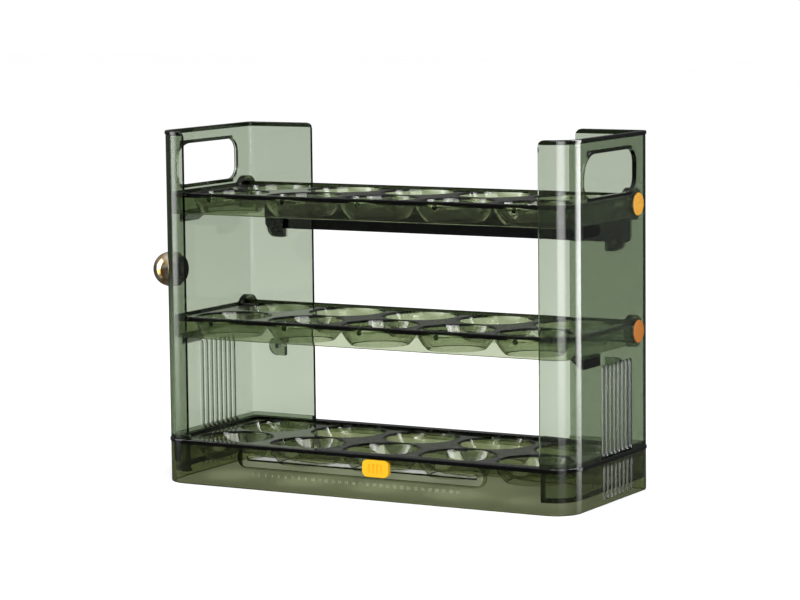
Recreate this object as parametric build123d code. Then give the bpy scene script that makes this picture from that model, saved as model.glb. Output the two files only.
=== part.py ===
from build123d import *
import math
import os

# A three-tier egg rack of clear green plastic: a low base with a fixed tray, two C-shaped side
# frames that plug into it, and two trays that hinge up on pins near the back of the frames.
# X runs to the right, Y to the back and Z up. The origin is the middle of the base's underside.

# Overall form
WIDTH = 265.0
DEPTH = 102.0
HEIGHT = 205.0
WALL = 2.2
FRONT_RADIUS = 15.4
REAR_RADIUS = 4.0
SLIP = 0.1
EDGE_ROUND = 0.6
BEAD = 0.5
BEAD_HEIGHT = 2.0

# Base shell
BASE_TOP = 26.0
BASE_ROUND = 1.0
LEDGE_HALF = 84.0
LEDGE_REACH = 2.3
LEDGE_HEIGHT = 1.6

# Date channel in the base's front wall, and the slider that runs in it
CHANNEL_HALF = 80.0
CHANNEL_Z = 18.4
CHANNEL_HEIGHT = 11.0
CHANNEL_DEPTH = 1.6
CHANNEL_BACK = 1.0
SLOT_HALF = 74.6
SLOT_HEIGHT = 2.4
SLIDER_X = 11.8
SLIDER_WIDTH = 17.0
SLIDER_HEIGHT = 9.8
SLIDER_THICK = 2.6
SLIDER_GAP = 0.15
NECK_WIDTH = 6.0
NECK_HEIGHT = 2.1
CLIP_WIDTH = 12.0
CLIP_HEIGHT = 7.0
CLIP_THICK = 1.2
GRIP_COUNT = 4
GRIP_PITCH = 2.6

# Side frames
FRONT_FLANGE = 18.2
REAR_FLANGE = 44.5
PLUG_BOTTOM = 7.0
PLUG_LIP = 1.6
FLANGE_TOP_ROUND = 4.0
HANDLE_FRONT = -32.0
HANDLE_REAR = 34.5
HANDLE_LOW = 172.0
HANDLE_HIGH = 196.0
HANDLE_ROUND = 8.0
HANDLE_FRONT_ROUND = 13.5
HANDLE_COLLAR = 1.8

# Flutes in the side walls
FLUTE_COUNT = 8
FLUTE_PITCH = 5.0
FLUTE_MIDDLE_Y = 9.5
FLUTE_WIDTH = 4.6
FLUTE_DEPTH = 1.0
FLUTE_TOP = 78.5
BASE_FLUTE_LOW = 3.0
BASE_FLUTE_TOP = 23.0

# Trays and their cups
TIER_PITCH = 72.0
TOP_RIM = 169.5
TRAY_INSET = 3.2
TRAY_DEPTH = 12.4
TRAY_SKIRT = 1.8
TRAY_DECK = 1.6
TRAY_LIP = 1.2
LIP_WIDTH = 1.6
CUP_COLUMNS = 5
CUP_PITCH = 49.2
CUP_ROW_Y = 23.2
CUP_TOP_RADIUS = 22.0
CUP_MIDDLE_RADIUS = 19.8
CUP_OPEN_RADIUS = 15.5
CUP_CHAMFER = 0.5
CUP_WALL = 1.3
PIP_RADIUS = 1.6
PIP_DEPTH = 0.7
PIP_DROP = 3.4
INSERT_GAP = 0.3
INSERT_SKIRT = 6.0

# Hinges of the two upper trays
PIVOT_Y = 38.0
PIVOT_DROP = 5.3
EAR_RADIUS = 9.2
EAR_THICK = 4.0
PIN_RADIUS = 2.5
PIN_PLAY = 0.05
PIN_TIP = 125.6
WASHER_RADIUS = 5.0
WASHER_THICK = 0.7
CAP_RADIUS = 6.5
CAP_SEAT = 1.2
CAP_PROUD = 0.6
CAP_GAP = 0.05

# Stops under the tray ends
STOP_FRONT = -31.0
STOP_REAR = -10.0
STOP_HEIGHT = 3.6
STOP_REACH = 6.0
STOP_GAP = 0.02

# Rear crossbar and the D-shaped bosses that hold its screws
BAR_HALF = 121.0
BAR_LOW = 141.0
BAR_HIGH = 161.0
BAR_THICK = 2.0
BAR_SINK = 1.2
BAR_GAP = 0.1
BAR_ROUND = 3.0
BOSS_X = 112.0
BOSS_RADIUS = 5.5
BOSS_REACH = 3.0
BOSS_Z = 141.5
SCREW_RADIUS = 1.5
SCREW_HEAD_RADIUS = 2.8
SCREW_HEAD = 1.0
SCREW_TIP_Y = 46.6
DRIVE_WIDTH = 0.7
DRIVE_DEPTH = 0.5

# Metal knob on the left frame
KNOB_RADIUS = 10.2
KNOB_OFFSET = 6.2
KNOB_Y = -28.0
KNOB_Z = 122.6
STUD_RADIUS = 2.0

HALF_W = WIDTH / 2
HALF_D = DEPTH / 2
MIDDLE_RIM = TOP_RIM - TIER_PITCH
RIMS = (MIDDLE_RIM, TOP_RIM)
CUP_XS = [(i - (CUP_COLUMNS - 1) / 2) * CUP_PITCH for i in range(CUP_COLUMNS)]
DECK_UNDERSIDE = BASE_TOP - TRAY_LIP - TRAY_DECK
FLUTE_YS = [FLUTE_MIDDLE_Y + (i - (FLUTE_COUNT - 1) / 2) * FLUTE_PITCH for i in range(FLUTE_COUNT)]


def slab(outline, low, high):
    """The outline, a sketch on the XY plane, as a prism between two heights."""
    return extrude(Pos(0, 0, low) * outline, high - low)


def block(x_span, y_span, z_span):
    """A box given by its low and high ends along each axis."""
    size = [span[1] - span[0] for span in (x_span, y_span, z_span)]
    middle = [(span[0] + span[1]) / 2 for span in (x_span, y_span, z_span)]
    return Pos(*middle) * Box(*size)


def rod_x(radius, y, z, x_low, x_high):
    """A round rod along X."""
    return Pos((x_low + x_high) / 2, y, z) * Rot(0, 90, 0) * Cylinder(radius, x_high - x_low)


def rod_y(radius, x, z, y_low, y_high):
    """A round rod along Y."""
    return Pos(x, (y_low + y_high) / 2, z) * Rot(90, 0, 0) * Cylinder(radius, y_high - y_low)


def plan(inset):
    """The rack's outline seen from above, moved inward."""
    outline = Rectangle(WIDTH - 2 * inset, DEPTH - 2 * inset)
    outline = fillet(outline.vertices().group_by(Axis.Y)[0], FRONT_RADIUS - inset)
    rear_radius = max(REAR_RADIUS - inset, EDGE_ROUND)
    return fillet(outline.vertices().group_by(Axis.Y)[-1], rear_radius)


def flute(low, high, depth):
    """One upright groove for the right side wall's outer face at y = 0, with round ends."""
    radius = (FLUTE_WIDTH**2 / 4 + depth**2) / (2 * depth)
    x = HALF_W + radius - depth
    end = radius * math.sin(math.acos(1 - depth / radius))
    groove = Pos(x, 0, (low + high) / 2) * Cylinder(radius, high - low - 2 * end)
    ends = [Pos(x, 0, z) * Sphere(radius) for z in (low + end, high - end)]
    return groove + ends


def flutes(low, high, depth, inset=0.0):
    """The row of grooves, on the right side wall moved inward by the inset."""
    one = flute(low, high, depth)
    return [Pos(-inset, y, 0) * one for y in FLUTE_YS]


def channel(half_length, height, y_low, y_high):
    """A stadium-shaped bar along X at the date channel's height."""
    outline = Plane.XZ * Pos(0, CHANNEL_Z) * SlotOverall(2 * half_length, height)
    return Pos(0, y_high, 0) * extrude(outline, y_high - y_low)


def walls(low, high):
    """The walls all round between two heights, with a rounded bead along the top."""
    ring = slab(plan(0) - plan(WALL), low, high)
    ring += slab(plan(-BEAD) - plan(WALL / 2), high - BEAD_HEIGHT, high)
    return fillet(ring.faces().sort_by(Axis.Z)[-1].edges(), EDGE_ROUND)


def base_shell():
    """The low open surround that carries everything, with the date channel across its front."""
    shell = walls(0, BASE_TOP)
    shell = fillet(shell.faces().sort_by(Axis.Z)[0].outer_wire().edges(), BASE_ROUND)
    front = -HALF_D
    inner = front + WALL
    back_height = CHANNEL_HEIGHT + 2 * CHANNEL_BACK
    back = channel(CHANNEL_HALF + CHANNEL_BACK, back_height, inner - SLIP, inner + CHANNEL_BACK)
    shell += back & slab(plan(0), 0, DECK_UNDERSIDE)
    shell -= channel(CHANNEL_HALF, CHANNEL_HEIGHT, front - 1, front + CHANNEL_DEPTH)
    shell -= channel(SLOT_HALF, SLOT_HEIGHT, front - 1, inner + CHANNEL_BACK + 1)
    row = flutes(BASE_FLUTE_LOW, BASE_FLUTE_TOP, FLUTE_DEPTH / 2)
    shell = shell - row - [mirror(groove, Plane.YZ) for groove in row]
    ledge_y = (-inner - LEDGE_REACH, SLIP - inner)
    ledge_z = (DECK_UNDERSIDE - LEDGE_HEIGHT, DECK_UNDERSIDE)
    return shell + block((-LEDGE_HALF, LEDGE_HALF), ledge_y, ledge_z)


def side_region(low, high):
    """A prism over the right frame's front flange, wall and rear flange."""
    out_x = HALF_W + 1
    out_y = HALF_D + 1
    front_x = HALF_W - FRONT_FLANGE
    rear_x = HALF_W - REAR_FLANGE
    corners = [(front_x, -out_y), (out_x, -out_y), (out_x, out_y), (rear_x, out_y)]
    corners += [(rear_x, 0), (front_x, 0)]
    return slab(make_face(Polyline(*corners, close=True)), low, high)


def flange_corner(edge_x, y_span):
    """What rounds off the free top corner of a flange, as a cutter."""
    centre = (edge_x + FLANGE_TOP_ROUND, HEIGHT - FLANGE_TOP_ROUND)
    square = block((edge_x - 1, centre[0]), y_span, (centre[1], HEIGHT + 1))
    return square - rod_y(FLANGE_TOP_ROUND, *centre, *y_span)


def handle_hole(margin, x_low, x_high):
    """The finger hole near the top of a side wall, made larger by a margin, as a prism along X."""
    length = HANDLE_REAR - HANDLE_FRONT + 2 * margin
    height = HANDLE_HIGH - HANDLE_LOW + 2 * margin
    outline = Rectangle(length, height)
    front_top = outline.vertices().group_by(Axis.X)[0].sort_by(Axis.Y)[-1]
    outline = fillet(front_top, HANDLE_FRONT_ROUND + margin)
    rear = outline.vertices().group_by(Axis.X)[-1]
    front_bottom = outline.vertices().group_by(Axis.Y)[0].sort_by(Axis.X)[:1]
    outline = fillet(rear + front_bottom, HANDLE_ROUND + margin)
    middle = Pos((HANDLE_FRONT + HANDLE_REAR) / 2, (HANDLE_LOW + HANDLE_HIGH) / 2)
    return extrude(Plane.YZ.offset(x_low) * middle * outline, x_high - x_low)


def d_outline(gap=0.0):
    """The D of a rear boss, round towards the outside, centred on the origin."""
    radius = BOSS_RADIUS + gap
    return Circle(radius) + Pos(-radius / 2, 0) * Rectangle(radius, 2 * radius)


def bar_outline(gap=0.0):
    """The crossbar seen from the front, with a D-shaped ear hanging at each end."""
    height = BAR_HIGH - BAR_LOW + 2 * gap
    bar = Pos(0, (BAR_LOW + BAR_HIGH) / 2) * RectangleRounded(2 * (BAR_HALF + gap), height, BAR_ROUND)
    ear = Pos(BOSS_X, BOSS_Z) * d_outline(gap)
    return bar + ear + mirror(ear, Plane.YZ)


def tray_stop(rim):
    """A ledge on the right wall's inner face, under the end of a tray, with a sloped underside."""
    top = rim - TRAY_DEPTH - STOP_GAP
    wall_x = HALF_W - WALL
    corners = [
        (wall_x + SLIP, top),
        (wall_x - STOP_REACH, top),
        (wall_x - STOP_REACH, top - STOP_HEIGHT / 2),
        (wall_x + SLIP, top - STOP_HEIGHT - STOP_REACH / 2),
    ]
    outline = Plane.XZ * make_face(Polyline(*corners, close=True))
    return Pos(0, STOP_REAR, 0) * extrude(outline, STOP_REAR - STOP_FRONT)


def right_frame():
    """The right side frame: front flange, wall and rear flange in one, and the plug below."""
    region = side_region(PLUG_BOTTOM, HEIGHT)
    plug_face = WALL + SLIP
    frame = walls(BASE_TOP, HEIGHT) & region
    frame -= flange_corner(HALF_W - FRONT_FLANGE, (-HALF_D - 1, 0))
    frame -= flange_corner(HALF_W - REAR_FLANGE, (0, HALF_D + 1))
    frame += slab(plan(0) - plan(plug_face + WALL), BASE_TOP, BASE_TOP + WALL) & region
    frame += slab(plan(plug_face) - plan(plug_face + WALL), PLUG_BOTTOM, BASE_TOP) & region
    lip = slab(plan(plug_face) - plan(plug_face + WALL + PLUG_LIP), PLUG_BOTTOM, PLUG_BOTTOM + PLUG_LIP)
    frame += lip & region
    frame += handle_hole(HANDLE_COLLAR, HALF_W - SLIP, HALF_W + BEAD)
    frame -= handle_hole(0, HALF_W - 2 * WALL, HALF_W + WALL)
    frame -= flutes(BASE_TOP + WALL / 2, FLUTE_TOP, FLUTE_DEPTH)
    frame -= flutes(PLUG_BOTTOM + WALL / 4, BASE_TOP - WALL / 2, FLUTE_DEPTH / 2, plug_face)
    inner = HALF_W - WALL
    for rim in RIMS:
        z = rim - PIVOT_DROP
        frame -= rod_x(PIN_RADIUS, PIVOT_Y, z, inner - WALL, HALF_W)
        frame -= rod_x(CAP_RADIUS + CAP_GAP, PIVOT_Y, z, HALF_W - CAP_SEAT, HALF_W + 1)
        frame += tray_stop(rim)
        boss_z = BOSS_Z - TOP_RIM + rim
        boss = Plane.XZ * Pos(BOSS_X, boss_z) * d_outline()
        frame += Pos(0, HALF_D - WALL + SLIP, 0) * extrude(boss, BOSS_REACH + SLIP)
        frame -= rod_y(SCREW_RADIUS, BOSS_X, boss_z, SCREW_TIP_Y, HALF_D)
    pocket = extrude(Plane.XZ * bar_outline(BAR_GAP), BAR_SINK + 1)
    return frame - Pos(0, HALF_D + 1, 0) * pocket


def left_frame():
    """The right frame mirrored, with a hole for the knob's stud."""
    stud_hole = rod_x(STUD_RADIUS, KNOB_Y, KNOB_Z, -HALF_W - 1, WALL - HALF_W + 1)
    return mirror(right_frame(), Plane.YZ) - stud_hole


def cup_profile(outward):
    """Half of a cup's section, from the axis out to its wall moved outward, for a full turn."""
    top = -TRAY_LIP
    bottom = -TRAY_DEPTH
    start = (CUP_TOP_RADIUS + outward, top)
    middle = (CUP_MIDDLE_RADIUS + outward, (top + bottom) / 2)
    end = (CUP_OPEN_RADIUS + outward, bottom)
    wall = ThreePointArc(start, middle, end)
    return make_face([wall, Polyline(end, (0, bottom), (0, top), start)])


def cup_places():
    """Where the ten cups of a tray stand."""
    return [Pos(x, y, 0) for x in CUP_XS for y in (-CUP_ROW_Y, CUP_ROW_Y)]


def add_cups(tray):
    """The tray with its ten open-bottomed cups; the rim is at z = 0."""
    bowl = revolve(Plane.XZ * cup_profile(CUP_WALL), Axis.Z)
    rim_cut = Cone(CUP_TOP_RADIUS, CUP_TOP_RADIUS + CUP_CHAMFER, CUP_CHAMFER)
    hollow = revolve(Plane.XZ * cup_profile(0), Axis.Z) + Pos(0, 0, -TRAY_LIP - CUP_CHAMFER / 2) * rim_cut
    hollow += Pos(0, 0, -TRAY_DEPTH - 1) * Cylinder(CUP_OPEN_RADIUS, 3)
    tray = tray + [place * bowl for place in cup_places()]
    return tray - [place * hollow for place in cup_places()]


def add_pips(tray, front):
    """The tray with a small round dimple in its front skirt before each cup."""
    return tray - [rod_y(PIP_RADIUS, x, -PIP_DROP, front - 1, front + PIP_DEPTH) for x in CUP_XS]


def tray_side(inset):
    """A hinged tray seen from the side, its rear end round about the pivot."""
    low = -TRAY_DEPTH
    front = -HALF_D + TRAY_INSET + inset
    body = Pos((front + PIVOT_Y) / 2, low / 2) * Rectangle(PIVOT_Y - front, TRAY_DEPTH)
    band = Pos(PIVOT_Y, low / 2) * Rectangle(2 * EAR_RADIUS, TRAY_DEPTH)
    return body + (band & Pos(PIVOT_Y, -PIVOT_DROP) * Circle(EAR_RADIUS - inset))


def hinged_tray():
    """A tray that swings up, built with its rim at z = 0."""
    side = extrude(Plane.YZ * tray_side(0), HALF_W, both=True)
    inner_side = extrude(Plane.YZ * tray_side(TRAY_SKIRT), HALF_W, both=True)
    tray = slab(plan(TRAY_INSET), -TRAY_DEPTH, 0)
    tray = fillet(tray.faces().filter_by(Axis.Z).edges(), EDGE_ROUND) & side
    tray -= slab(plan(TRAY_INSET + TRAY_SKIRT), -TRAY_DEPTH, -TRAY_LIP - TRAY_DECK) & inner_side
    tray -= slab(plan(TRAY_INSET + LIP_WIDTH), -TRAY_LIP, 0) & inner_side
    tray = add_pips(add_cups(tray), -HALF_D + TRAY_INSET)
    end = HALF_W - TRAY_INSET
    ear = rod_x(EAR_RADIUS, PIVOT_Y, -PIVOT_DROP, end - EAR_THICK, end)
    ear += rod_x(WASHER_RADIUS, PIVOT_Y, -PIVOT_DROP, end, end + WASHER_THICK)
    bore = rod_x(PIN_RADIUS + PIN_PLAY, PIVOT_Y, -PIVOT_DROP, end - 2 * EAR_THICK, HALF_W)
    return tray + ear + mirror(ear, Plane.YZ) - bore - mirror(bore, Plane.YZ)


def bottom_tray():
    """The fixed tray in the base, notched round the frames' flanges."""
    inset = 2 * WALL + SLIP + INSERT_GAP
    front_half = HALF_W - FRONT_FLANGE - INSERT_GAP
    rear_half = HALF_W - REAR_FLANGE - INSERT_GAP
    wall_y = HALF_D - WALL - SLIP
    outline = plan(inset) + Pos(0, -wall_y / 2) * Rectangle(2 * front_half, wall_y)
    outline += Pos(0, wall_y / 2) * Rectangle(2 * rear_half, wall_y)
    tray = slab(outline, -TRAY_LIP - TRAY_DECK, 0)
    tray += slab(plan(inset) - plan(inset + TRAY_SKIRT), -INSERT_SKIRT, -TRAY_LIP)
    tray -= slab(plan(inset + LIP_WIDTH), -TRAY_LIP, 0)
    return Pos(0, 0, BASE_TOP) * (add_cups(tray) & slab(outline, -TRAY_DEPTH, 0))


def pivot_pin(side, rim):
    """A pin pressed through a side wall; side is 1 on the right and -1 on the left."""
    z = rim - PIVOT_DROP
    pin = rod_x(PIN_RADIUS, PIVOT_Y, z, PIN_TIP, HALF_W - CAP_SEAT)
    tip = pin.edges().filter_by(GeomType.CIRCLE).sort_by(Axis.X)[0]
    pin = chamfer(tip, EDGE_ROUND)
    return pin if side > 0 else mirror(pin, Plane.YZ)


def pivot_cap(side, rim):
    """The round cap that covers a pin's outer end."""
    cap = rod_x(CAP_RADIUS, PIVOT_Y, rim - PIVOT_DROP, HALF_W - CAP_SEAT, HALF_W + CAP_PROUD)
    outer = cap.edges().filter_by(GeomType.CIRCLE).sort_by(Axis.X)[-1]
    cap = fillet(outer, CAP_PROUD)
    return cap if side > 0 else mirror(cap, Plane.YZ)


def date_slider():
    """The slider in the front channel, with grip ribs and a neck through the slot."""
    back = -HALF_D + CHANNEL_DEPTH - SLIDER_GAP
    front = back - SLIDER_THICK
    outline = RectangleRounded(SLIDER_WIDTH, SLIDER_HEIGHT, SLIDER_HEIGHT / 3)
    outline = Plane.XZ * Pos(SLIDER_X, CHANNEL_Z) * outline
    body = Pos(0, back, 0) * extrude(outline, SLIDER_THICK)
    body = chamfer(body.faces().sort_by(Axis.Y)[0].outer_wire().edges(), EDGE_ROUND / 2)
    for i in range(GRIP_COUNT):
        x = SLIDER_X + (i - (GRIP_COUNT - 1) / 2) * GRIP_PITCH
        body -= Pos(x, front, CHANNEL_Z) * Cylinder(EDGE_ROUND, SLIDER_HEIGHT / 2)
    neck_end = -HALF_D + WALL + CHANNEL_BACK + SLIDER_GAP + CLIP_THICK
    neck_x = (SLIDER_X - NECK_WIDTH / 2, SLIDER_X + NECK_WIDTH / 2)
    neck_z = (CHANNEL_Z - NECK_HEIGHT / 2, CHANNEL_Z + NECK_HEIGHT / 2)
    return body + block(neck_x, (back - SLIP, neck_end), neck_z)


def slider_clip():
    """The clip pressed over the slider's neck behind the front wall."""
    low = -HALF_D + WALL + CHANNEL_BACK + SLIDER_GAP
    plate = Plane.XZ * Pos(SLIDER_X, CHANNEL_Z) * RectangleRounded(CLIP_WIDTH, CLIP_HEIGHT, EDGE_ROUND)
    hole = Plane.XZ * Pos(SLIDER_X, CHANNEL_Z) * Rectangle(NECK_WIDTH, NECK_HEIGHT)
    return Pos(0, low + CLIP_THICK, 0) * extrude(plate - hole, CLIP_THICK)


def rear_crossbar():
    """The black bar across the back, let into the rear flanges."""
    inner = HALF_D - BAR_SINK
    outer = inner + BAR_THICK
    bar = Pos(0, outer, 0) * extrude(Plane.XZ * bar_outline(), BAR_THICK)
    for x in (-BOSS_X, BOSS_X):
        bar -= rod_y(SCREW_RADIUS, x, BOSS_Z, inner - 1, outer + 1)
        bar -= rod_y(SCREW_HEAD_RADIUS, x, BOSS_Z, outer - SCREW_HEAD, outer + 1)
    return bar


def crossbar_screw(x):
    """A flat-headed screw through the bar into a boss, with a cross recess."""
    outer = HALF_D - BAR_SINK + BAR_THICK
    screw = rod_y(SCREW_RADIUS, x, BOSS_Z, SCREW_TIP_Y, outer - SCREW_HEAD)
    screw += rod_y(SCREW_HEAD_RADIUS, x, BOSS_Z, outer - SCREW_HEAD, outer)
    reach = SCREW_HEAD_RADIUS * 0.6
    half = DRIVE_WIDTH / 2
    y_span = (outer - DRIVE_DEPTH, outer + 1)
    screw -= block((x - reach, x + reach), y_span, (BOSS_Z - half, BOSS_Z + half))
    return screw - block((x - half, x + half), y_span, (BOSS_Z - reach, BOSS_Z + reach))


def side_knob():
    """The polished ball knob, flat where it meets the left wall, with its stud."""
    seat = math.sqrt(KNOB_RADIUS**2 - KNOB_OFFSET**2)
    ball = Pos(-KNOB_OFFSET, 0) * Circle(KNOB_RADIUS)
    half = ball & Pos(-KNOB_RADIUS, KNOB_RADIUS) * Rectangle(2 * KNOB_RADIUS, 2 * KNOB_RADIUS)
    half += Pos(WALL / 2 - seat / 4, STUD_RADIUS / 2) * Rectangle(WALL + seat / 2, STUD_RADIUS)
    return Pos(-HALF_W, KNOB_Y, KNOB_Z) * revolve(Plane.XZ * half, Axis.X)


tray = hinged_tray()
pieces = {
    "base_shell": base_shell(),
    "bottom_tray": bottom_tray(),
    "middle_tray": Pos(0, 0, MIDDLE_RIM) * tray,
    "top_tray": Pos(0, 0, TOP_RIM) * tray,
    "left_side_frame": left_frame(),
    "right_side_frame": right_frame(),
    "rear_crossbar": rear_crossbar(),
    "date_slider": date_slider(),
    "slider_clip": slider_clip(),
    "side_knob": side_knob(),
}
for side_name, side in (("left", -1), ("right", 1)):
    pieces[f"crossbar_screw_{side_name}"] = crossbar_screw(side * BOSS_X)
    for tier_name, rim in (("middle", MIDDLE_RIM), ("top", TOP_RIM)):
        pieces[f"{tier_name}_{side_name}_pivot_pin"] = pivot_pin(side, rim)
        pieces[f"{tier_name}_{side_name}_pivot_cap"] = pivot_cap(side, rim)

os.makedirs("parts", exist_ok=True)
for name, piece in pieces.items():
    export_step(piece, f"parts/{name}.step")
    box = piece.bounding_box()
    print(name, len(piece.solids()), [round(v, 2) for v in (*box.min, *box.max)])
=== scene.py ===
import math
from functools import reduce

import bmesh
import bpy
from mathutils import Matrix, Vector


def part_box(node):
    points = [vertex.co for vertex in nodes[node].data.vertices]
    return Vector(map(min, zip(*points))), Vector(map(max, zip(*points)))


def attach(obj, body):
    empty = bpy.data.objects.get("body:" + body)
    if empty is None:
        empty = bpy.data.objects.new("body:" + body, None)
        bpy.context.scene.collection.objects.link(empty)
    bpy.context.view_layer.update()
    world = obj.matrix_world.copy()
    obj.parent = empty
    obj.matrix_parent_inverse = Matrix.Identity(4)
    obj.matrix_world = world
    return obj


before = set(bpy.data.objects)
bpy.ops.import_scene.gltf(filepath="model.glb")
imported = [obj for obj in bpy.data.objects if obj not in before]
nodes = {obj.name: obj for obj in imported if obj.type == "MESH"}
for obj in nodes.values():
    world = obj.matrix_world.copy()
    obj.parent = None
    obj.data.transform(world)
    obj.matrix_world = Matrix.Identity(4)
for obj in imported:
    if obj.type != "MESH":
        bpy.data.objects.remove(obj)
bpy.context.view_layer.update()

# Camera, found from the rack's own corners in the photograph
CAMERA_AZIMUTH = 29.377
CAMERA_ELEVATION = 6.570
CAMERA_ROLL = -0.616
CAMERA_DISTANCE = 1.7724
CAMERA_SIDE = -0.0002
CAMERA_RAISE = 0.1077
FOCAL_PIXELS = 3089.4
IMAGE_WIDTH = 800
SENSOR_MM = 36.0

# The colour of the world's light, of the floor's own light and of plastic without a tint
WHITE = (1, 1, 1)

# Light of the world on the rack, where 1 is white, and of the sky that bent rays meet overhead
WORLD_LIGHT = 0.8
SKY_LIGHT = 0.3

# Light that glossy faces mirror from below the horizon, just above it and overhead
MIRRORED_FLOOR = 0.12
MIRRORED_HORIZON = 0.06
MIRRORED_SKY = 0.7

# Two large lamps that face one point: place and power, and the size of both
LAMPS = {
    "key": ((1.0, -1.2, 1.6), 22),
    "fill": ((-1.4, -0.8, 1.0), 8),
}
LAMP_TARGET = (0, 0, 0.1)
LAMP_SIZE = (1.2, 1.2)

# Tall soft boxes: azimuth from the front towards the right, distance, width, top and brightness
SOFT_BOXES = {
    "back_right": (107, 0.25, 0.13, 0.40, 11),
    "front_right": (57, 0.35, 0.18, 0.40, 8),
    "left": (298, 0.42, 0.20, 0.40, 6),
}

# Their foot, the heights between which they fade down to the least share of light, and how much of each
# half of their width fades towards the side
SOFT_BOX_FOOT = -0.15
SOFT_BOX_FADE = (-0.03, 0.11)
SOFT_BOX_LEAST = 0.06
SOFT_BOX_EDGE = 0.6

# The floor, and what it adds to its own light where the camera sees it, so that it reads as white
FLOOR_REACH = 6.0
FLOOR_COLOURS = ((0.93, 0.93, 0.93), (0.95, 0.95, 0.95))
FLOOR_PATCH = 2
FLOOR_ROUGHNESS = 0.9
FLOOR_GLOSS = 0.1
FLOOR_LIFT = 0.25

# Clear green plastic: what stays of the light, and how fast the rest goes with depth
GREEN_DEPTH = 840.0
FRAME_GREEN = (0.55, 0.6125, 0.4975)
TRAY_GREEN = (0.53, 0.595, 0.39)
BASE_GREEN = (0.40, 0.45, 0.17)
PLASTIC_IOR = 1.47

# Its polish and its faint waves: how fine they are, the most roughness, and the relief's strength and depth
POLISH_SCALE = 60
POLISH_MOST = 0.012
WAVE_SCALE = 25
WAVE_DETAIL = 1.0
WAVE_RELIEF = (0.06, 0.002)

# Painted shade along the rims, where light runs along the plastic and it looks almost black, and how far up
# and down it reaches
RIM_PAINTED_SHADE = (0.02, 0.03, 0.012)
RIM_HEIGHT = 0.0019
WIDE_RIM_HEIGHT = 0.0026

# Decimals kept of heights that come from the frame, in metres: down to a tenth of a millimetre
DECIMALS = 4

# Heights of the trays up to their rims, where their lips begin, and the share of painted shade on the decks
# inside
TRAY_HEIGHTS = {"bottom_tray": 0.0124, "middle_tray": 0.0145, "top_tray": 0.0145}
CORNER_CENTRE = (0.1171, 0.0356)
LIP_REACH = 0.0094
REAR_LIP_Y = 0.0452
DECK_SHADE = 0.75

# The dimples before the cups, painted dark inside as shade: how deep they lie in the front, how far along
# X, and how far below the rim
DIMPLE_Y = (-0.0477, -0.0468)
DIMPLE_X = 0.105
DIMPLE_DROP = (0.0052, 0.0016)

# The base's top, the line under the date slot, and the left end of the date channel, which are painted dark
# as shade
BASE_TOP = round(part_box("base_shell")[1][2], DECIMALS)
SLOT_LINE_Z = (0.0163, 0.0172)
SLOT_HALF = 0.0746
SLOT_Y = -0.0475
CHANNEL_END_X = -0.0775
CHANNEL_END_Y = (-0.0508, -0.0490)
CHANNEL_END_Z = (0.0129, 0.0239)

# The handle holes in the side frames, along Y and Z, and how far before their ends the painted shade on
# their edges stops
HOLE_MIDDLE = (0.00125, 0.184)
HOLE_HALF = (0.03325, 0.012)
HOLE_ROUND = 0.0057

# The side frames' tops, their plugs' undersides, and the plugs' front edges by distance from the middle,
# all painted dark as shade
FRAME_TOP = round(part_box("left_side_frame")[1][2], DECIMALS)
PLUG_BOTTOM = round(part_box("left_side_frame")[0][2], DECIMALS)
PLUG_EDGE_X = (0.1140, 0.1165)

# The rear right corner, and the front left corner, which are painted dark as shade; the left one's painted
# shade grows from one height up to another
REAR_CORNER = (0.1290, 0.0466)
LEFT_EDGE_X = (-0.1335, -0.1264)
LEFT_EDGE_Y = (-0.0485, -0.0410)
LEFT_EDGE_FADE = (0.070, 0.125)

# The flutes in the side walls, which are a little matt, and their grooves, which are painted darker as
# shade, by distance from the middle
FLUTE_X = (0.1312, 0.1324)
FLUTE_Y = (-0.0105, 0.0295)
FLUTE_Z = (BASE_TOP, 0.0785)
FLUTE_ROUGHNESS = 0.42
GROOVE_X = (0.1312, 0.1319)
GROOVE_PAINTED_SHADE = (0.27, 0.30, 0.24)

# Opaque plastics: colour, deeper colour, roughness and gloss
BAR_BLACK = ((0.006, 0.007, 0.007), (0.003, 0.004, 0.004), 0.5, 0.15)
SLIDER_YELLOW = ((0.97, 0.54, 0.012), (0.93, 0.49, 0.01), 0.35, 0.25)
DAY_INK = ((0.36, 0.40, 0.27), (0.27, 0.31, 0.20), 0.4, 0.2)
# All caps are one orange: the middle caps' darker copy of it is painted shade
CAPS = {
    "top": ((0.82, 0.43, 0.025), (0.38, 0.14, 0.012), 0.4, 0.15),
    "middle": ((0.50, 0.17, 0.012), (0.24, 0.07, 0.008), 0.4, 0.15),
}

# How fine their mottle and grain are, how much the roughness varies, and the relief's strength and depth
MOTTLE = 120
CAP_MOTTLE = 700
GRAIN = 900
GRAIN_SPREAD = 0.06
GRAIN_RELIEF = (0.1, 0.0002)

# Metals: pale colour, deep colour, roughness and how fine their patches are; the knob's gold is its own,
# its pale and dark patches are painted reflections
PIN_STEEL = ((0.6, 0.6, 0.6), (0.5, 0.5, 0.5), 0.2, 300)
KNOB_METAL_AND_REFLECTIONS = ((0.80, 0.72, 0.58), (0.46, 0.27, 0.06), 0.05, 190)

# What the noise of their patches spreads to before it is cut to 0 and 1, and how fine the scratches are
PATCH_CONTRAST = (-1.5, 2.5)
SCRATCHES = 700

# The day numbers under the date channel, and the base's front that they stand on
DAYS = 31
DAY_SPAN = (-0.0700, 0.0640)
DAY_HEIGHT = 0.0024
DAY_BASE = 0.0082
DAY_THICK = 0.00006
FRONT = -0.051

# Sockets of a Mix node: its factor, its two numbers, its two colours, and the colour that comes out
MIX_FACTOR = 0
MIX_NUMBERS = (2, 3)
MIX_COLOURS = (6, 7)
MIX_RESULT = 2


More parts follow.
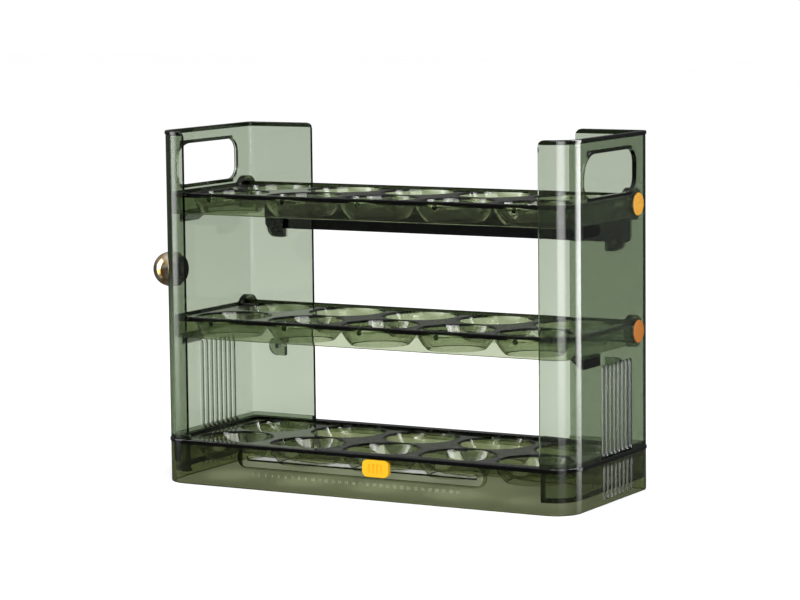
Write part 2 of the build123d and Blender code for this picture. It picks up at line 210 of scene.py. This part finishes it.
def shader_nodes(name):
    """A new material with its Principled node, its node tree and its output."""
    material = bpy.data.materials.new(name)
    material.use_nodes = True
    tree = material.node_tree
    surface = next(n for n in tree.nodes if n.type == "BSDF_PRINCIPLED")
    output = next(n for n in tree.nodes if n.type == "OUTPUT_MATERIAL")
    return material, tree, surface, output


def feed(tree, socket, value):
    """Sets a socket to a number, or links another socket to it."""
    if isinstance(value, (int, float)):
        socket.default_value = value
    else:
        tree.links.new(value, socket)


def noise(tree, scale, detail=3.0):
    """Noise over the object's own coordinates, in metres."""
    place = tree.nodes.new("ShaderNodeTexCoord")
    texture = tree.nodes.new("ShaderNodeTexNoise")
    texture.inputs["Scale"].default_value = scale
    texture.inputs["Detail"].default_value = detail
    tree.links.new(place.outputs["Object"], texture.inputs["Vector"])
    return texture.outputs["Fac"]


def remap(tree, value, low, high, start=0.0, end=1.0):
    """Low up to where the value is start, high from where it is end, and in proportion between them."""
    node = tree.nodes.new("ShaderNodeMapRange")
    for name, number in (("From Min", start), ("From Max", end), ("To Min", low), ("To Max", high)):
        node.inputs[name].default_value = number
    tree.links.new(value, node.inputs["Value"])
    return node.outputs["Result"]


def bump(tree, surface, height, strength, distance):
    """Relief on the surface from a height between 0 and 1."""
    node = tree.nodes.new("ShaderNodeBump")
    node.inputs["Strength"].default_value = strength
    node.inputs["Distance"].default_value = distance
    tree.links.new(height, node.inputs["Height"])
    tree.links.new(node.outputs["Normal"], surface.inputs["Normal"])


def math_node(tree, operation, *values):
    """The result of a Math node for numbers or sockets."""
    node = tree.nodes.new("ShaderNodeMath")
    node.operation = operation
    for socket, value in zip(node.inputs, values):
        feed(tree, socket, value)
    return node.outputs[0]


def in_band(tree, value, low, high):
    """1 where the value lies between low and high, else 0."""
    return math_node(tree, "COMPARE", value, (low + high) / 2, (high - low) / 2)


def all_of(tree, *masks):
    """The product of masks, which is 1 where all of them are 1."""
    return reduce(lambda first, second: math_node(tree, "MULTIPLY", first, second), masks)


def any_of(tree, *masks):
    """The largest of masks, which is 1 where any of them is 1."""
    return reduce(lambda first, second: math_node(tree, "MAXIMUM", first, second), masks)


def coordinates(tree, source):
    """The X, Y and Z sockets of a vector socket."""
    parts = tree.nodes.new("ShaderNodeSeparateXYZ")
    tree.links.new(source, parts.inputs[0])
    return parts.outputs


def mix_values(tree, factor, first, second):
    """A number between two, by the factor."""
    node = tree.nodes.new("ShaderNodeMix")
    tree.links.new(factor, node.inputs[MIX_FACTOR])
    for index, value in zip(MIX_NUMBERS, (first, second)):
        feed(tree, node.inputs[index], value)
    return node.outputs[0]


def mix_colours(tree, factor, first, second):
    """A colour between two, by the factor."""
    node = tree.nodes.new("ShaderNodeMix")
    node.data_type = "RGBA"
    tree.links.new(factor, node.inputs[MIX_FACTOR])
    for index, colour in zip(MIX_COLOURS, (first, second)):
        node.inputs[index].default_value = (*colour, 1)
    return node.outputs[MIX_RESULT]


def multiply_colours(tree, *colours):
    """The product of two colour sockets."""
    node = tree.nodes.new("ShaderNodeMix")
    node.data_type = "RGBA"
    node.blend_type = "MULTIPLY"
    node.inputs[MIX_FACTOR].default_value = 1.0
    for index, colour in zip(MIX_COLOURS, colours):
        tree.links.new(colour, node.inputs[index])
    return node.outputs[MIX_RESULT]


def rim_mask(tree, place, rim, height):
    """1 in the band of painted shade from a height below a rim to the same height above it, else 0."""
    return in_band(tree, place["Z"], rim - height, rim + height)


def tray_mask(tree, place, rim):
    """Painted shade: 1 on the lip round a tray and in its dimples, less on the deck inside the lip, else 0.
    """
    across = math_node(tree, "ABSOLUTE", place["X"])
    forward = math_node(tree, "MULTIPLY", place["Y"], -1.0)
    squares = []
    for value, centre in zip((across, forward), CORNER_CENTRE):
        past = math_node(tree, "MAXIMUM", math_node(tree, "SUBTRACT", value, centre), 0.0)
        squares.append(math_node(tree, "POWER", past, 2.0))
    reach = math_node(tree, "SQRT", math_node(tree, "ADD", *squares))
    outer = math_node(tree, "GREATER_THAN", reach, LIP_REACH)
    rear = math_node(tree, "GREATER_THAN", place["Y"], REAR_LIP_Y)
    shade = remap(tree, any_of(tree, outer, rear), DECK_SHADE, 1.0)
    top = all_of(tree, rim_mask(tree, place, rim, RIM_HEIGHT), shade)
    between = math_node(tree, "LESS_THAN", across, DIMPLE_X)
    front = in_band(tree, place["Y"], *DIMPLE_Y)
    low, high = (rim - drop for drop in DIMPLE_DROP)
    dimple = all_of(tree, front, between, in_band(tree, place["Z"], low, high))
    return any_of(tree, top, dimple)


def base_mask(tree, place, rim):
    """Painted shade: 1 at the base's top, along the underside of the date slot and at the channel's left
    end, else 0.
    """
    top = rim_mask(tree, place, rim, WIDE_RIM_HEIGHT)
    short = math_node(tree, "LESS_THAN", math_node(tree, "ABSOLUTE", place["X"]), SLOT_HALF)
    front = math_node(tree, "LESS_THAN", place["Y"], SLOT_Y)
    slot = all_of(tree, in_band(tree, place["Z"], *SLOT_LINE_Z), short, front)
    left = math_node(tree, "LESS_THAN", place["X"], CHANNEL_END_X)
    depth = in_band(tree, place["Y"], *CHANNEL_END_Y)
    end = all_of(tree, left, depth, in_band(tree, place["Z"], *CHANNEL_END_Z))
    return any_of(tree, top, slot, end)


def hole_mask(tree, place):
    """Painted shade: 1 along the upper and lower edges of the handle holes, else 0."""
    run = math_node(tree, "ABSOLUTE", math_node(tree, "SUBTRACT", place["Y"], HOLE_MIDDLE[0]))
    rise = math_node(tree, "ABSOLUTE", math_node(tree, "SUBTRACT", place["Z"], HOLE_MIDDLE[1]))
    near = in_band(tree, rise, HOLE_HALF[1] - RIM_HEIGHT, HOLE_HALF[1] + RIM_HEIGHT)
    return all_of(tree, near, math_node(tree, "LESS_THAN", run, HOLE_HALF[0] - HOLE_ROUND))


def corner_mask(tree, place):
    """Painted shade: 1 at the rear right corner and the upper front left corner, which fades out below,
    else 0.
    """
    right = math_node(tree, "GREATER_THAN", place["X"], REAR_CORNER[0])
    rear = math_node(tree, "GREATER_THAN", place["Y"], REAR_CORNER[1])
    left = in_band(tree, place["X"], *LEFT_EDGE_X)
    front = in_band(tree, place["Y"], *LEFT_EDGE_Y)
    upper = remap(tree, place["Z"], 0.0, 1.0, *LEFT_EDGE_FADE)
    return any_of(tree, all_of(tree, right, rear), all_of(tree, left, front, upper))


def plug_mask(tree, place):
    """Painted shade: 1 along the undersides of the plugs and down their free front edges, else 0."""
    front = math_node(tree, "LESS_THAN", place["Y"], 0.0)
    low = math_node(tree, "LESS_THAN", place["Z"], BASE_TOP)
    edge = in_band(tree, math_node(tree, "ABSOLUTE", place["X"]), *PLUG_EDGE_X)
    bottom = rim_mask(tree, place, PLUG_BOTTOM, WIDE_RIM_HEIGHT)
    return any_of(tree, all_of(tree, front, low, edge), bottom)


def frame_mask(tree, place, rim):
    """Painted shade: 1 at a side frame's top, handle hole, dark corners and plug edges, else 0."""
    top = rim_mask(tree, place, rim, WIDE_RIM_HEIGHT)
    return any_of(tree, top, hole_mask(tree, place), corner_mask(tree, place), plug_mask(tree, place))


def flute_mask(tree, place, side):
    """1 over the flutes, where a wall's surface lies between two distances from the middle, else 0."""
    across = in_band(tree, math_node(tree, "ABSOLUTE", place["X"]), *side)
    height = in_band(tree, place["Z"], *FLUTE_Z)
    return all_of(tree, across, height, in_band(tree, place["Y"], *FLUTE_Y))


def clear_green(name, colour, mask, rim):
    """Tinted clear plastic: the colour deepens with the length of plastic that light crosses."""
    material, tree, surface, output = shader_nodes(name)
    source = tree.nodes.new("ShaderNodeTexCoord")
    place = coordinates(tree, source.outputs["Object"])
    # Painted shade: rims, edges and corners are darkened where the mask is 1, and the flute grooves are
    # darkened too
    rims = mix_colours(tree, mask(tree, place, rim), WHITE, RIM_PAINTED_SHADE)
    grooves = mix_colours(tree, flute_mask(tree, place, GROOVE_X), WHITE, GROOVE_PAINTED_SHADE)
    tree.links.new(multiply_colours(tree, rims, grooves), surface.inputs["Base Color"])
    surface.inputs["Transmission Weight"].default_value = 1.0
    surface.inputs["IOR"].default_value = PLASTIC_IOR
    matt = remap(tree, flute_mask(tree, place, FLUTE_X), 0.0, FLUTE_ROUGHNESS)
    polish = remap(tree, noise(tree, POLISH_SCALE), 0.0, POLISH_MOST)
    tree.links.new(math_node(tree, "ADD", polish, matt), surface.inputs["Roughness"])
    bump(tree, surface, noise(tree, WAVE_SCALE, WAVE_DETAIL), *WAVE_RELIEF)
    volume = tree.nodes.new("ShaderNodeVolumeAbsorption")
    volume.inputs["Color"].default_value = (*colour, 1)
    volume.inputs["Density"].default_value = GREEN_DEPTH
    tree.links.new(volume.outputs["Volume"], output.inputs["Volume"])
    return material


def moulded(name, colour, deep, roughness, gloss, mottle=MOTTLE):
    """Opaque moulded plastic with a faint mottle and grain."""
    material, tree, surface, _ = shader_nodes(name)
    surface.inputs["Specular IOR Level"].default_value = gloss
    mottled = mix_colours(tree, noise(tree, mottle), deep, colour)
    tree.links.new(mottled, surface.inputs["Base Color"])
    grain = noise(tree, GRAIN)
    varied = remap(tree, grain, roughness - GRAIN_SPREAD, roughness + GRAIN_SPREAD)
    tree.links.new(varied, surface.inputs["Roughness"])
    bump(tree, surface, grain, *GRAIN_RELIEF)
    return material


def polished_metal(name, pale, deep, roughness, patch):
    """Metal in patches of two colours, with fine scratches in its polish."""
    material, tree, surface, _ = shader_nodes(name)
    surface.inputs["Metallic"].default_value = 1.0
    share = remap(tree, noise(tree, patch), *PATCH_CONTRAST)
    tree.links.new(mix_colours(tree, share, deep, pale), surface.inputs["Base Color"])
    scratched = remap(tree, noise(tree, SCRATCHES), roughness, roughness * 2)
    tree.links.new(scratched, surface.inputs["Roughness"])
    return material


def number_mesh(number):
    """A number as a thin flat mesh, centred along X."""
    text = bpy.data.curves.new(f"day_{number}", "FONT")
    text.body = str(number)
    text.size = DAY_HEIGHT
    text.extrude = DAY_THICK
    text.align_x = "CENTER"
    carrier = bpy.data.objects.new(f"day_{number}", text)
    bpy.context.scene.collection.objects.link(carrier)
    bpy.context.view_layer.update()
    evaluated = carrier.evaluated_get(bpy.context.evaluated_depsgraph_get())
    shape = bpy.data.meshes.new_from_object(evaluated)
    bpy.data.objects.remove(carrier)
    return shape


def day_marks():
    """The numbers of the days along the base's front, as one thin raised mesh."""
    marks = bmesh.new()
    upright = Matrix.Rotation(math.radians(90), 4, "X")
    for day in range(1, DAYS + 1):
        along = DAY_SPAN[0] + (DAY_SPAN[1] - DAY_SPAN[0]) * (day - 1) / (DAYS - 1)
        shape = number_mesh(day)
        shape.transform(Matrix.Translation((along, FRONT, DAY_BASE)) @ upright)
        marks.from_mesh(shape)
    mesh = bpy.data.meshes.new("day_marks")
    marks.to_mesh(mesh)
    marks.free()
    piece = bpy.data.objects.new("day_marks", mesh)
    bpy.context.scene.collection.objects.link(piece)
    mesh.materials.append(moulded("day_ink", *DAY_INK))
    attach(piece, "frame")


def dress(material, *names):
    """Gives the named CAD nodes a material."""
    for name in names:
        for slot in nodes[name].material_slots:
            slot.material = material


def dress_rack():
    """Gives every CAD node its material."""
    for name, height in TRAY_HEIGHTS.items():
        rim = round(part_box(name)[0][2] + height, DECIMALS)
        dress(clear_green(f"clear_green_{name}", TRAY_GREEN, tray_mask, rim), name)
    dress(clear_green("clear_green_base", BASE_GREEN, base_mask, BASE_TOP), "base_shell")
    frame_green = clear_green("clear_green_frame", FRAME_GREEN, frame_mask, FRAME_TOP)
    dress(frame_green, "left_side_frame", "right_side_frame")
    dress(moulded("black_bar", *BAR_BLACK), "rear_crossbar")
    dress(moulded("slider_yellow", *SLIDER_YELLOW), "date_slider", "slider_clip")
    for tier, finish in CAPS.items():
        # The middle caps' darker orange is painted shade
        cap_orange_and_shade = moulded(f"{tier}_cap_orange_and_shade", *finish, CAP_MOTTLE)
        dress(cap_orange_and_shade, f"{tier}_left_pivot_cap", f"{tier}_right_pivot_cap")
    pin_steel = polished_metal("pin_steel", *PIN_STEEL)
    for side in ("left", "right"):
        pins = [f"{tier}_{side}_pivot_pin" for tier in CAPS]
        dress(pin_steel, *pins, f"crossbar_screw_{side}")
    # The knob's pale and dark patches are painted reflections on its gold
    dress(polished_metal("knob_metal", *KNOB_METAL_AND_REFLECTIONS), "side_knob")


def make_camera():
    """The camera at the photograph's place, with its roll and frame."""
    azimuth, elevation, roll = map(math.radians, (CAMERA_AZIMUTH, CAMERA_ELEVATION, CAMERA_ROLL))
    level = math.cos(elevation)
    back = Vector((math.sin(azimuth) * level, -math.cos(azimuth) * level, math.sin(elevation)))
    right = Vector((math.cos(azimuth), math.sin(azimuth), 0))
    up = back.cross(right)
    turned_right = right * math.cos(roll) + up * math.sin(roll)
    turned_up = up * math.cos(roll) - right * math.sin(roll)
    place = back * CAMERA_DISTANCE + right * CAMERA_SIDE + Vector((0, 0, CAMERA_RAISE))
    data = bpy.data.cameras.new("camera")
    data.sensor_width = SENSOR_MM
    data.lens = FOCAL_PIXELS * SENSOR_MM / IMAGE_WIDTH
    camera = bpy.data.objects.new("camera", data)
    columns = Matrix((turned_right, turned_up, back)).transposed()
    camera.matrix_world = Matrix.Translation(place) @ columns.to_4x4()
    bpy.context.scene.collection.objects.link(camera)
    bpy.context.scene.camera = camera


def area_light(name, place, target, size, power):
    """A rectangular lamp that faces the target."""
    data = bpy.data.lights.new(name, "AREA")
    data.shape = "RECTANGLE"
    data.size, data.size_y = size
    data.energy = power
    lamp = bpy.data.objects.new(name, data)
    lamp.location = place
    lamp.rotation_euler = (Vector(target) - Vector(place)).to_track_quat("-Z", "Y").to_euler()
    bpy.context.scene.collection.objects.link(lamp)
    return lamp


def soft_box(name, azimuth, distance, width, top, brightness):
    """A tall lamp that shows only as a gleam on glossy faces, softer at its sides and towards its foot."""
    turn = math.radians(azimuth)
    middle = (SOFT_BOX_FOOT + top) / 2
    place = (math.sin(turn) * distance, -math.cos(turn) * distance, middle)
    size = (width, top - SOFT_BOX_FOOT)
    power = brightness * math.pi * size[0] * size[1]
    lamp = area_light(name, place, (0, 0, middle), size, power)
    lamp.data.use_nodes = True
    tree = lamp.data.node_tree
    spot = coordinates(tree, tree.nodes.new("ShaderNodeNewGeometry").outputs["Position"])
    along_x = math_node(tree, "MULTIPLY", spot["X"], math.cos(turn))
    along_y = math_node(tree, "MULTIPLY", spot["Y"], math.sin(turn))
    aside = math_node(tree, "ABSOLUTE", math_node(tree, "ADD", along_x, along_y))
    across = remap(tree, aside, 0.0, 1.0, width / 2, width / 2 * (1 - SOFT_BOX_EDGE))
    upward = remap(tree, spot["Z"], SOFT_BOX_LEAST, 1.0, *SOFT_BOX_FADE)
    emission = next(n for n in tree.nodes if n.type == "EMISSION")
    tree.links.new(math_node(tree, "MULTIPLY", across, upward), emission.inputs["Strength"])
    lamp.visible_camera = False
    lamp.visible_diffuse = False
    lamp.visible_transmission = False


def make_world():
    """White behind the rack, a softer white as light, and a darker world for bent and mirrored rays."""
    world = bpy.data.worlds.new("studio")
    bpy.context.scene.world = world
    world.use_nodes = True
    tree = world.node_tree
    background = next(n for n in tree.nodes if n.type == "BACKGROUND")
    rays = tree.nodes.new("ShaderNodeLightPath").outputs
    height = coordinates(tree, tree.nodes.new("ShaderNodeTexCoord").outputs["Generated"])["Z"]
    sky = remap(tree, height, 1.0, SKY_LIGHT)
    below = math_node(tree, "LESS_THAN", height, 0.0)
    above = remap(tree, height, MIRRORED_HORIZON, MIRRORED_SKY)
    mirrored = mix_values(tree, below, above, MIRRORED_FLOOR)
    glossy = mix_values(tree, rays["Is Glossy Ray"], WORLD_LIGHT, mirrored)
    light = mix_values(tree, rays["Is Transmission Ray"], glossy, sky)
    background.inputs["Color"].default_value = (*WHITE, 1)
    strength = math_node(tree, "MAXIMUM", light, rays["Is Camera Ray"])
    tree.links.new(strength, background.inputs["Strength"])


def make_floor():
    """A pale floor that takes the rack's shadow. Glossy faces mirror the world's ground instead."""
    material, tree, surface, _ = shader_nodes("floor")
    patched = mix_colours(tree, noise(tree, FLOOR_PATCH), *FLOOR_COLOURS)
    tree.links.new(patched, surface.inputs["Base Color"])
    surface.inputs["Roughness"].default_value = FLOOR_ROUGHNESS
    surface.inputs["Specular IOR Level"].default_value = FLOOR_GLOSS
    surface.inputs["Emission Color"].default_value = (*WHITE, 1)
    rays = tree.nodes.new("ShaderNodeLightPath").outputs
    seen = math_node(tree, "MAXIMUM", rays["Is Camera Ray"], rays["Is Transmission Ray"])
    tree.links.new(remap(tree, seen, 0.0, FLOOR_LIFT), surface.inputs["Emission Strength"])
    mesh = bpy.data.meshes.new("floor")
    corners = [(x * FLOOR_REACH, y * FLOOR_REACH, 0) for x, y in ((-1, -1), (1, -1), (1, 1), (-1, 1))]
    mesh.from_pydata(corners, [], [(0, 1, 2, 3)])
    mesh.materials.append(material)
    floor = bpy.data.objects.new("floor", mesh)
    floor.visible_glossy = False
    bpy.context.scene.collection.objects.link(floor)


dress_rack()
day_marks()
make_camera()
make_world()
make_floor()
for name, (place, power) in LAMPS.items():
    area_light(name, place, LAMP_TARGET, LAMP_SIZE, power)
for name, box in SOFT_BOXES.items():
    soft_box(name, *box)
bpy.context.scene.view_settings.view_transform = "Standard"
